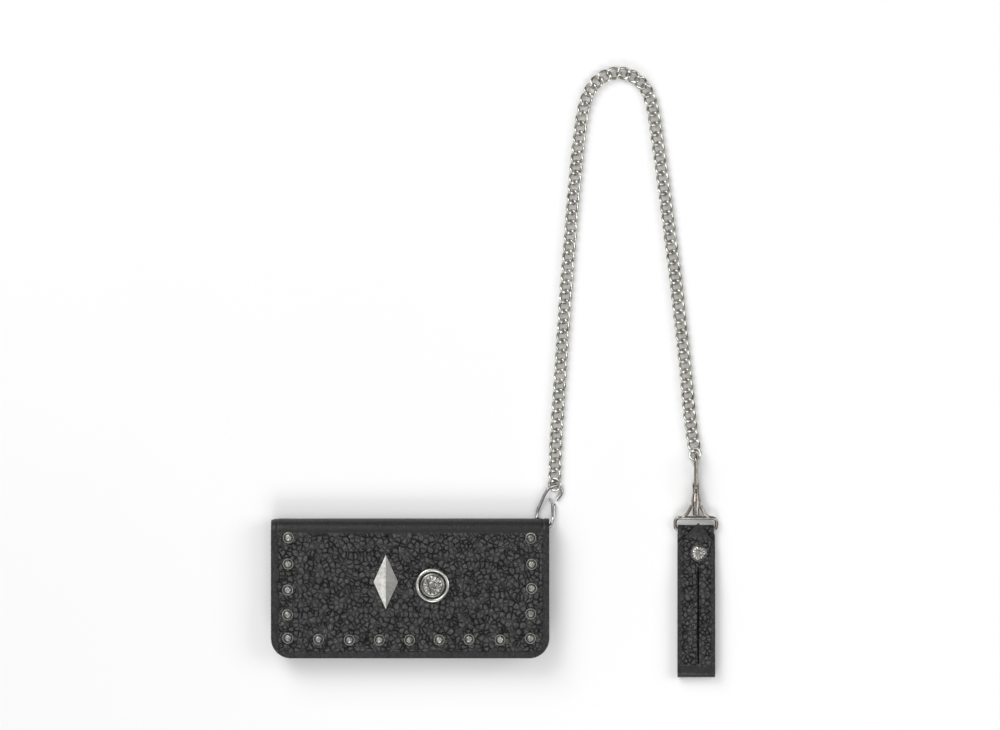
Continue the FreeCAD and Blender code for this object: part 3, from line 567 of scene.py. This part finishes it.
def cover_n(i, j):
    (y, z), (ny, nz) = section(cover_s(i, j))
    return Vector((0, ny, nz))


cover = sheet_solid("cover_leather", cover_mid, cover_n, lambda i, j: (xs[i] * MM, cover_s(i, j) * MM), NU, NV, T * MM,
                    [M_PEB, M_EDGE, M_LIN], bevel=0.00042)
me = cover.data
# sink the stitch line and roughen the grain into the outer surface
uvl = me.uv_layers["flat"]
vert_uv = {}
for poly in me.polygons:
    for li in poly.loop_indices:
        vert_uv[me.loops[li].vertex_index] = uvl.data[li].uv.copy()
for v in me.vertices:
    u = vert_uv.get(v.index)
    if u is None:
        continue
    x, s = u[0] / MM, u[1] / MM
    (y, z), (ny, nz) = section(s)
    off = (v.co.y / MM - y) * ny + (v.co.z / MM - z) * nz
    if off > 0.3:
        g = groove(x, s)
        w = noise.noise(Vector((x * 0.045, s * 0.045, 3.0))) * 0.10 + noise.noise(Vector((x * 0.5, s * 0.5, 7.0))) * 0.035
        d = (-g - abs(w)) * MM
        v.co += Vector((0, ny, nz)) * d
me.update()
# eyelet hole through the fold's lower half: a dark disc would be wrong, so the leather is cut
bm = bmesh.new()
bm.from_mesh(me)
cutter_r = 2.95 * MM
ax = Vector((0, math.cos(math.radians(-40)), math.sin(math.radians(-40))))
cc = Vector((88.5 * MM, YF * MM, ZC * MM))
kill = []
for f in bm.faces:
    c = f.calc_center_median() - cc
    along = c.dot(ax)
    if along > 0 and (c - ax * along).length < cutter_r * 0.97:
        kill.append(f)
bmesh.ops.delete(bm, geom=kill, context="FACES")
open_edges = [e for e in bm.edges if len(e.link_faces) == 1]
# join the two rims of the hole into a wall
if open_edges:
    res = bmesh.ops.bridge_loops(bm, edges=open_edges)
bmesh.ops.recalc_face_normals(bm, faces=bm.faces)
bm.to_mesh(me)
bm.free()
for p in me.polygons:
    p.use_smooth = True
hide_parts("back_cover", "front_cover")
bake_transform(cover)

# stitches in the sunken line of both covers
def stitch_path(front):
    pts = []
    inset, rc = 4.2, 14.0
    rr = rc - inset
    zt = (18.0 - 0.20) if front else 0.28
    n = Vector((0, 0, 1 if front else -1))
    xe = L2 - inset
    yb = Y0 + inset

    def add(x, y):
        pts.append((Vector((x * MM, y * MM, zt * MM)), n))

    for k in range(20):
        add(-xe, YF - 1.0 - (YF - 1.0 - (yb + rr)) * k / 19)
    for k in range(1, 9):
        a = math.pi + math.pi / 2 * k / 8
        add(-xe + rr + rr * math.cos(a), yb + rr + rr * math.sin(a))
    for k in range(1, 30):
        add(-xe + rr + (2 * (xe - rr)) * k / 29, yb)
    for k in range(1, 9):
        a = 1.5 * math.pi + math.pi / 2 * k / 8
        add(xe - rr + rr * math.cos(a), yb + rr + rr * math.sin(a))
    for k in range(1, 20):
        add(xe, yb + rr + (YF - 1.0 - yb - rr) * k / 19)
    return pts


for nm, front, body in (("stitching_front", True, "front"), ("stitching_back", False, "back")):
    o = capsule_run(nm, stitch_path(front), 2.5 * MM, 0.27 * MM, 3.1 * MM, M_THREAD, None)
    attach(o, body)

# ------------------------------------------------------------------ lining and inner panels
LT = 0.7


def lining_piece(name, node, body, back):
    xs2 = [-96.4 + 192.8 * i / 96 for i in range(97)]
    rl = R - T - LT / 2
    flat = YF - (Y0 + 0.6)
    arc = math.pi / 2 * rl - 0.15
    tot = flat + arc
    nv = 64

    def sec(s):
        if s < flat:
            return (Y0 + 0.6 + s, T + LT / 2), (0, 1)
        a = (s - flat) / rl - math.pi / 2
        return (YF + rl * math.cos(a), ZC + rl * math.sin(a)), (-math.cos(a), -math.sin(a))

    def ci(x):
        rc = 13.4
        k = abs(x) - (96.4 - rc)
        return 0.0 if k <= 0 else rc - math.sqrt(max(rc * rc - k * k, 0.0))

    def sv(i, j):
        c = ci(xs2[i])
        return c + (tot - c) * j / (nv - 1)

    def mid(i, j):
        (y, z), _ = sec(sv(i, j))
        return Vector((xs2[i] * MM, y * MM, (z if back else 18 - z) * MM))

    def nor(i, j):
        _, (ny, nz) = sec(sv(i, j))
        return Vector((0, ny, nz if back else -nz))

    o = sheet_solid(name, mid, nor, lambda i, j: (xs2[i] * MM, sv(i, j) * MM), 97, nv, LT * MM * 0.98, [M_LIN, M_EDGE], bevel=0.00015)
    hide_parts(node)
    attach(o, body)
    return o


lining_piece("lining_back", "back_lining", "back", True)
lining_piece("lining_front", "front_lining", "front", False)
soft_copy("back_note_panel", M_POCKET, "back", 0.00022)
soft_copy("card_slots_left", M_POCKET, "back", 0.00022)
soft_copy("card_slots_right", M_POCKET, "back", 0.00022)
soft_copy("front_note_panel", M_POCKET, "front", 0.0002)
soft_copy("coin_pocket_back", M_LIN, "front", 0.0002)
soft_copy("coin_pocket_front", M_POCKET, "front", 0.00022)
soft_copy("coin_pocket_welt", M_POCKET, "front", 0.00022)
soft_copy("zip_tapes", M_TAPE, "front", 0.0001)


def straight(x0, y0, x1, y1, z, up):
    n = Vector((0, 0, up))
    return [(Vector(((x0 + (x1 - x0) * k / 12) * MM, (y0 + (y1 - y0) * k / 12) * MM, z * MM)), n) for k in range(13)]


# thread along the pocket mouths and the zip
for k in range(4):
    zt = 2.3 + 0.25 + 0.9 + 0.9 * (k + 1)
    yt = 33.0 - 8.0 - 11.0 * k
    for side, xa, xb in (("left", -91.0, -2.4), ("right", 2.4, 91.0)):
        o = capsule_run("stitch_slot_%s_%d" % (side, k + 1), straight(xa, yt - 1.6, xb, yt - 1.6, zt - 0.02, 1), 2.1 * MM, 0.2 * MM, 2.8 * MM, M_THREAD, None)
        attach(o, "back")
zc0 = 18 - 2.3 - 0.2 - 0.8 - 0.1 - 0.8 - 1.0 - 0.9
for nm, yy in (("stitch_zip_low", 22.0 - 6.6), ("stitch_zip_high", 22.0 + 6.6)):
    o = capsule_run(nm, straight(-88, yy, 88, yy, zc0 + 0.02, -1), 2.1 * MM, 0.2 * MM, 2.8 * MM, M_THREAD, None)
    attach(o, "front")

# ------------------------------------------------------------------ studs and ornaments
STUDS = [(-84.8, 35.3), (-85.0, 17.1), (-85.3, -1.0), (-85.4, -18.3), (-85.2, -34.6), (-63.8, -35.4), (-42.3, -35.8),
         (-21.4, -35.8), (-0.4, -35.9), (20.3, -35.8), (41.0, -35.4), (62.7, -35.8), (83.8, -34.7), (84.1, -17.6),
         (84.6, 0.1), (84.7, 16.9), (84.1, 35.0)]


def rosette_dome(cx, cy, z0, r, h, petals, turn, depth, verts, faces, rings=22, seg=64, foot=None, dark=None):
    base = len(verts)
    foot = foot or []
    for fr, fz in foot:
        for k in range(seg):
            th = 2 * math.pi * k / seg
            verts.append(Vector(((cx + fr * math.cos(th)) * MM, (cy + fr * math.sin(th)) * MM, (z0 + fz) * MM)))
    for j in range(rings + 1):
        a = math.pi / 2 * j / rings
        rr = r * math.cos(a)
        zz = h * math.sin(a)
        q = rr / r
        for k in range(seg):
            th = 2 * math.pi * k / seg
            c = abs(math.cos(petals * (th + turn) / 2))
            # petals between an inner boss and an outer beaded band
            if q > 0.84:
                d = 0.35 * depth * (0.5 + 0.5 * math.cos(petals * 3 * th))
            elif q > 0.78:
                d = -depth * 0.9
            elif q > 0.36:
                w = math.sin(math.pi * (q - 0.36) / 0.42)
                d = depth * w * (c ** 0.6 * 1.3 - 0.75)
            elif q > 0.30:
                d = -depth * 0.9
            else:
                d = depth * 0.5 * math.cos(q / 0.30 * math.pi / 2)
            verts.append(Vector(((cx + rr * math.cos(th)) * MM, (cy + rr * math.sin(th)) * MM, (z0 + zz + d) * MM)))
    rings += len(foot)
    for j in range(rings):
        for k in range(seg):
            if dark is not None and j < len(foot):
                dark.add(len(faces))
            a, b = base + j * seg + k, base + j * seg + (k + 1) % seg
            c, d2 = a + seg, b + seg
            faces.append((a, b, d2, c))
    # close the underside
    low = []
    for k in range(seg):
        v = verts[base + k]
        low.append(len(verts))
        verts.append(Vector((v.x, v.y, (z0 - 0.35) * MM)))
    for k in range(seg):
        faces.append((low[k], low[(k + 1) % seg], base + (k + 1) % seg, base + k))
    faces.append(tuple(reversed(low)))
    top = base + rings * seg
    faces.append(tuple(range(top, top + seg)))


verts, faces, dark = [], [], set()
for i, (sx, sy) in enumerate(STUDS):
    rosette_dome(sx, sy, 18.75, 2.5, 1.3, 5, 0.37 * i, 0.20, verts, faces,
                 foot=[(3.08, -0.05), (3.04, 0.03), (2.95, 0.06), (2.6, -0.02)], dark=dark)
domes = make_obj("stud_rosettes", verts, faces, [M_ANTIQUE, M_GROOVE])
for k in dark:
    domes.data.polygons[k].material_index = 1
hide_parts("stud_domes")
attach(domes, "front")

verts, faces = [], []
rosette_dome(15.6, 2.2, 18.25, 8.8, 2.5, 12, 0.0, 0.34, verts, faces, 40, 144)
boss = make_obj("concho_rosette", verts, faces, [M_ANTIQUE])
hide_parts("concho_boss")
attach(boss, "front")

# snap cap on the strap: a plain fluted dome
SNAP = (201.6, 24.2)
verts, faces = [], []
cap_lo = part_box("snap_cap")[0]
cap_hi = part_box("snap_cap")[1]
CR = (cap_hi[0] - cap_lo[0]) / 2 / MM
CZ = cap_lo[2] / MM + 0.36
rosette_dome(SNAP[0], SNAP[1], CZ, CR, cap_hi[2] / MM - CZ - 0.14, 10, 0.2, 0.28, verts, faces, 34, 120)
cap = make_obj("snap_cap_dome", verts, faces, [M_ANTIQUE])
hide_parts("snap_cap")
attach(cap, "flap")

# ------------------------------------------------------------------ strap
SX0, SH, ST = 199.9, 13.1, 1.4
FC, FR = -58.65, 4.0
RMID = FR - ST / 2
BY, BZ = 41.2, 2.8
WR = 1.2 + 0.15 + ST / 2


def arc_list(cy, cz, r, a0, a1, n):
    return [(cy + r * math.cos(math.radians(a0 + (a1 - a0) * i / n)), cz + r * math.sin(math.radians(a0 + (a1 - a0) * i / n)))
            for i in range(n + 1)]


def ess(p, q, n):
    out = []
    for i in range(1, n):
        t = i / n
        out.append((p[0] + (q[0] - p[0]) * t, p[1] + (q[1] - p[1]) * (3 * t * t - 2 * t ** 3)))
    return out


def dense(path, step):
    out = [path[0]]
    for a, b in zip(path, path[1:]):
        d = math.hypot(b[0] - a[0], b[1] - a[1])
        n = max(1, int(round(d / step)))
        for k in range(1, n + 1):
            out.append((a[0] + (b[0] - a[0]) * k / n, a[1] + (b[1] - a[1]) * k / n))
    return out


def strap_sheet(name, path, widths, mats, extra=None):
    """widths(s, y) gives the half width and centre; the grid spans it from edge to edge."""
    pts = dense(path, 0.9)
    nv = len(pts)
    run = [0.0]
    for a, b in zip(pts, pts[1:]):
        run.append(run[-1] + math.hypot(b[0] - a[0], b[1] - a[1]))
    fr = [-1.0, -0.975, -0.95, -0.92, -0.89, -0.86, -0.83, -0.79, -0.75, -0.70]
    fr = fr + [-0.70 + 1.40 * k / 36 for k in range(1, 36)] + [-f for f in reversed(fr)]
    nu = len(fr)
    nrm = []
    for k in range(nv):
        a, b = pts[max(k - 1, 0)], pts[min(k + 1, nv - 1)]
        d = math.hypot(b[0] - a[0], b[1] - a[1])
        nrm.append(((-(b[1] - a[1]) / d), (b[0] - a[0]) / d))

    def x_of(i, j):
        lo, hi = widths(run[j], pts[j], run[-1])
        return (lo + hi) / 2 + fr[i] * (hi - lo) / 2

    def mid(i, j):
        return Vector((x_of(i, j) * MM, pts[j][0] * MM, pts[j][1] * MM))

    def nor(i, j):
        return Vector((0, nrm[j][0], nrm[j][1]))

    o = sheet_solid(name, mid, nor, lambda i, j: (x_of(i, j) * MM, run[j] * MM), nu, nv, ST * MM, mats, bevel=0.0004)
    return o, pts, run, nrm


# the part that lies on the table, turns round the loop's bar and comes back under the flap
CUT_Y = -40.0
back_path = [(CUT_Y, ST / 2), (BY - 6.0, ST / 2)] + arc_list(BY, BZ, WR, 272, 468, 24)
ex = back_path[-1]
back_path += ess(ex, (31.0, ST + 0.05 + ST / 2), 7)[1:] + [(31.0, ST + 0.05 + ST / 2), (13.5, ST + 0.05 + ST / 2)]


def back_w(s, p, tot):
    near = max(0.0, min(1.0, (p[0] - 36.6) / 2.0))
    near = near * near * (3 - 2 * near)
    lo, hi = SX0 - SH, SX0 + SH
    return lo * (1 - near) + (199.6 - 12.6) * near, hi * (1 - near) + (199.6 + 12.6) * near


strap_a, _, _, _ = strap_sheet("strap_body_leather", back_path, back_w, [M_STRAP, M_EDGE])
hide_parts("strap_back")
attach(strap_a, "strap")

SNAP_MID = 2 * ST + 0.05 + 1.35 + ST / 2
FTOP = BZ + WR + ST / 2 + 0.2 + ST / 2
flap_path = [(CUT_Y + 0.15, ST / 2), (FC, ST / 2)] + list(reversed(arc_list(FC, FR, RMID, 90, 270, 28)))[1:]
flap_path += [(0.0, FR + RMID)] + ess((0.0, FR + RMID), (17.5, SNAP_MID), 8) + [(17.5, SNAP_MID), (30.5, SNAP_MID)]
flap_path += ess((30.5, SNAP_MID), (36.8, FTOP), 6) + [(36.8, FTOP), (45.3, FTOP)]
TIPX = 201.3


def flap_w(s, p, tot):
    lo, hi = SX0 - SH, SX0 + SH
    y, z = p
    if z > 2.0 and y > 31.0:
        t = min(1.0, (y - 31.0) / (45.3 - 31.0))
        lo = lo + 0.4 * min(1, t * 8) + (TIPX - 0.25 - lo - 0.4) * t
        hi = hi - 0.4 * min(1, t * 8) + (TIPX + 0.25 - hi + 0.4) * t
    return lo, hi


strap_b, fpts, frun, fn = strap_sheet("strap_flap_leather", flap_path, flap_w, [M_FLAP, M_EDGE])
me = strap_b.data
for v in me.vertices:
    x, y, z = v.co.x / MM, v.co.y / MM, v.co.z / MM
    if z > 4.2 and y > FC - 5 and y < 46:
        # which face: the outer one is above the middle surface
        # centre groove and the sunken lines beside the edges
        lo, hi = flap_w(0, (y, z), 0)
        d = 0.0
        if y < 16.5:
            d += 0.42 * math.exp(-((x - 201.2) / 0.55) ** 2) * min(1.0, max(0.0, (16.5 - y) / 1.5)) * min(1.0, max(0.0, (y + 57.5) / 4.0))
        e = min(x - lo, hi - x)
        d += 0.22 * math.exp(-((e - 2.6) / 0.5) ** 2)
        nz_ = 0.1 * abs(noise.noise(Vector((x * 0.08, y * 0.08, 1.7))))
        v.co.z -= (d + nz_) * MM
me.update()
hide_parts("strap_flap")
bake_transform(strap_b)

# stitches down both sides of the flap
fl = []
for sgn in (-1, 1):
    pts = []
    xs_ = SX0 + sgn * (SH - 2.6)
    for k in range(40):
        y = -52.0 + (30.0 + 52.0) * k / 39
        # height of the flap's outer face at y
        zz = None
        for a, b in zip(fpts, fpts[1:]):
            if a[1] > 4.0 and b[1] > 4.0 and a[0] <= y <= b[0]:
                f = (y - a[0]) / max(b[0] - a[0], 1e-6)
                zz = a[1] + (b[1] - a[1]) * f
        if zz is None:
            continue
        pts.append((Vector((xs_ * MM, y * MM, (zz + ST / 2 - 0.24) * MM)), Vector((0, 0, 1))))
    o = capsule_run("stitching_strap_%s" % ("left" if sgn < 0 else "right"), pts, 2.3 * MM, 0.24 * MM, 2.9 * MM, M_THREAD, None)
    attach(o, "flap")

# ------------------------------------------------------------------ carried-over metal
for n, o in nodes.items():
    if n.startswith("chain_") or n in ("hook_ring", "snap_ring"):
        m = M_STEEL
    elif n in ("wire_hook", "latch_leg", "latch_fork", "eyelet", "eyelet_washer", "zip_teeth", "zip_stops", "zip_slider", "zip_puller",
               "ornament_pins", "stud_backs", "snap_stud", "snap_post", "snap_socket"):
        m = M_WIRE
    elif n in ("snap_hook_body", "gate_pin", "snap_gate", "swivel_loop"):
        m = M_DARK
    elif n in ("lozenge_plate",):
        m = M_PLATE
    elif n in ("stud_rims", "concho_ring", "snap_cap"):
        m = M_SILVER
    else:
        continue
    o.data.materials.clear()
    o.data.materials.append(m)

# ------------------------------------------------------------------ stage, light, camera
fm, nt, b = new_mat("floor_pale")
v = coords(nt, False)
link(nt, ramp(nt, tex_noise(nt, v, 3.0, 2.0), [(0.0, 0.93), (1.0, 0.95)]), b.inputs["Base Color"])
b.inputs["Roughness"].default_value = 0.9
b.inputs["Specular IOR Level"].default_value = 0.1
floor = make_obj("floor", [(-4, -4, -0.0002), (4, -4, -0.0002), (4, 4, -0.0002), (-4, 4, -0.0002)], [(0, 1, 2, 3)], [fm], smooth=False)

world = bpy.data.worlds.new("soft_room")
bpy.context.scene.world = world
world.use_nodes = True
wn = world.node_tree
bg = wn.nodes["Background"]
# a soft bright ceiling over the set with dim walls round it
wc = wn.nodes.new("ShaderNodeTexCoord")
wz = wn.nodes.new("ShaderNodeSeparateXYZ")
wn.links.new(wc.outputs["Generated"], wz.inputs[0])
sky = ramp(wn, wz.outputs["Z"], [(0.0, 0.10), (0.36, 0.10), (0.58, 0.42), (0.78, 1.0), (1.0, 0.85)])
patch = tex_noise(wn, wc.outputs["Generated"], 2.6, 2.0, 0.5)
soft = ramp(wn, patch, [(0.40, 0.40), (0.60, 1.20)])
wm = wn.nodes.new("ShaderNodeMix")
wm.data_type = "RGBA"
wm.blend_type = "MULTIPLY"
wm.inputs["Factor"].default_value = 1.0
wn.links.new(sky, wm.inputs["A"])
wn.links.new(soft, wm.inputs["B"])
wn.links.new(wm.outputs["Result"], bg.inputs["Color"])
# one side of the ceiling is brighter, so that facets and rims read
side = ramp(wn, maths(wn, "ADD", maths(wn, "MULTIPLY", wz.outputs["X"], 0.5), 0.5), [(0.28, 1.35), (0.5, 0.9), (0.72, 0.35)])
wm2 = wn.nodes.new("ShaderNodeMix")
wm2.data_type = "RGBA"
wm2.blend_type = "MULTIPLY"
wm2.inputs["Factor"].default_value = 1.0
wn.links.new(wm.outputs["Result"], wm2.inputs["A"])
wn.links.new(side, wm2.inputs["B"])
wn.links.new(wm2.outputs["Result"], bg.inputs["Color"])
bg.inputs["Strength"].default_value = 1.1


def area(name, loc, target, size, power, size_y=None):
    d = bpy.data.lights.new(name, "AREA")
    d.energy = power
    d.shape = "RECTANGLE"
    d.size = size
    d.size_y = size_y or size
    o = bpy.data.objects.new(name, d)
    o.location = loc
    o.rotation_euler = (Vector(target) - Vector(loc)).to_track_quat("-Z", "Y").to_euler()
    bpy.context.scene.collection.objects.link(o)
    return o


mid = (0.0627, 0.1558, 0.0)
area("key", (-0.75, 1.15, 1.15), mid, 1.0, 13.0)
area("fill", (1.25, 0.25, 1.05), mid, 1.0, 8.0)
area("front", (0.0, -1.15, 0.95), mid, 0.9, 7.0, 0.5)

cam_d = bpy.data.cameras.new("cam")
cam_d.lens = 200.0
cam_d.sensor_width = 36.0
cam_d.clip_end = 20.0
cam = bpy.data.objects.new("cam", cam_d)
cam.location = (0.06265, 0.15575, 3.889)
cam.rotation_euler = (0, 0, 0)
bpy.context.scene.collection.objects.link(cam)
bpy.context.scene.camera = cam
bpy.context.scene.view_settings.view_transform = "Standard"
